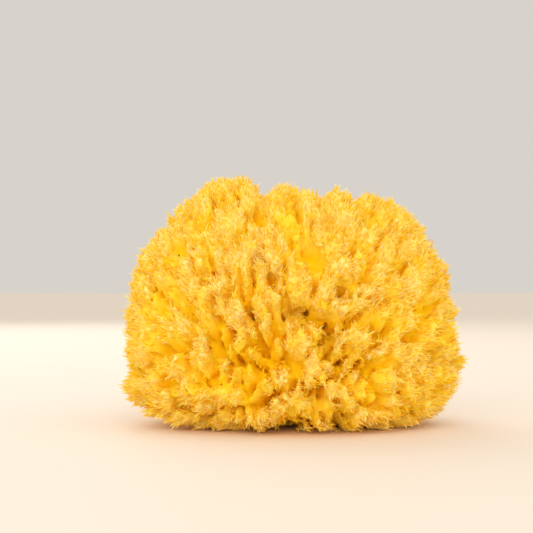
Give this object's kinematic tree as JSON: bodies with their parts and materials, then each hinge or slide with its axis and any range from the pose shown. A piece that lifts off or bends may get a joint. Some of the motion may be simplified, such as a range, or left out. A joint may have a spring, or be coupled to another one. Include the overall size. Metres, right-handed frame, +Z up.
{
  "type": "natural sea sponge",
  "caption": "Bun-shaped natural bath sponge of yellow spongin, tufted all over, pierced by canals and cut flat underneath to stand on.",
  "frame": {"origin": "under the middle of the sponge's box, in the plane of the flat cut that it stands on", "axes": "+Z up away from the cut, +X along the wide side from left to right, front towards -Y"},
  "size_m": [0.14, 0.112, 0.101],
  "materials": {
    "spongin": "dry matt yellow spongin fibre, paler at the tuft tips and orange inside the canals"
  },
  "bodies": {
    "root": {"sponge": "spongin"}
  },
  "joints": []
}
